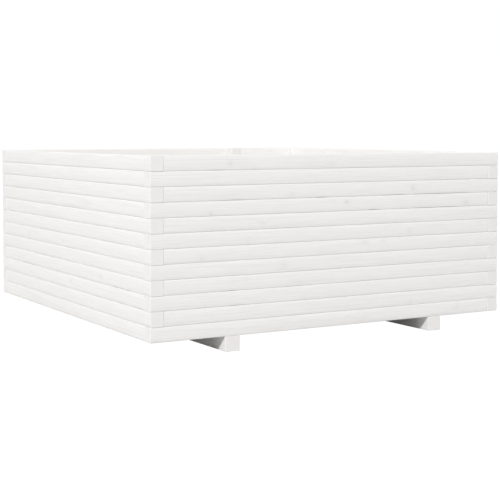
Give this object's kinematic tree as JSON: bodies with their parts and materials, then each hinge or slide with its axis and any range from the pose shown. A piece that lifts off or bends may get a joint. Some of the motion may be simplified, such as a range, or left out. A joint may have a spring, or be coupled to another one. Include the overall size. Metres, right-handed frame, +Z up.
{
  "type": "wooden planter",
  "caption": "Square raised garden planter of white-painted pine battens, laid in rows that interlock at the corners, open at the top, slatted floor, two ground bearers.",
  "frame": {"origin": "on the ground, in the middle of the square footprint", "axes": "+Z up; the front wall faces -Y and +X is to the right seen from the front; the bearers run along Y"},
  "size_m": [1.1, 1.1, 0.495],
  "materials": {
    "batten_pine": "white-stained planed pine, satin, with faint knots and grain",
    "bearer_pine": "white-stained pine, satin, rougher sawn ends",
    "floor_pine": "white-stained planed pine boards, satin",
    "upright_pine": "white-stained planed pine, satin",
    "screw_steel": "zinc-plated countersunk wood screws"
  },
  "bodies": {
    "root": {"front_batten_01": "batten_pine", "front_batten_02": "batten_pine", "front_batten_03": "batten_pine", "front_batten_04": "batten_pine", "front_batten_05": "batten_pine", "front_batten_06": "batten_pine", "front_batten_07": "batten_pine", "front_batten_08": "batten_pine", "front_batten_09": "batten_pine", "front_batten_10": "batten_pine", "front_batten_11": "batten_pine", "front_batten_12": "batten_pine", "right_batten_01": "batten_pine", "right_batten_02": "batten_pine", "right_batten_03": "batten_pine", "right_batten_04": "batten_pine", "right_batten_05": "batten_pine", "right_batten_06": "batten_pine", "right_batten_07": "batten_pine", "right_batten_08": "batten_pine", "right_batten_09": "batten_pine", "right_batten_10": "batten_pine", "right_batten_11": "batten_pine", "right_batten_12": "batten_pine", "back_batten_01": "batten_pine", "back_batten_02": "batten_pine", "back_batten_03": "batten_pine", "back_batten_04": "batten_pine", "back_batten_05": "batten_pine", "back_batten_06": "batten_pine", "back_batten_07": "batten_pine", "back_batten_08": "batten_pine", "back_batten_09": "batten_pine", "back_batten_10": "batten_pine", "back_batten_11": "batten_pine", "back_batten_12": "batten_pine", "left_batten_01": "batten_pine", "left_batten_02": "batten_pine", "left_batten_03": "batten_pine", "left_batten_04": "batten_pine", "left_batten_05": "batten_pine", "left_batten_06": "batten_pine", "left_batten_07": "batten_pine", "left_batten_08": "batten_pine", "left_batten_09": "batten_pine", "left_batten_10": "batten_pine", "left_batten_11": "batten_pine", "left_batten_12": "batten_pine", "left_bearer": "bearer_pine", "right_bearer": "bearer_pine", "floor_boards": "floor_pine", "front_upright": "upright_pine", "back_upright": "upright_pine", "batten_screws": "screw_steel", "upright_screws": "screw_steel", "floor_screws": "screw_steel", "bearer_screws": "screw_steel"}
  },
  "joints": []
}
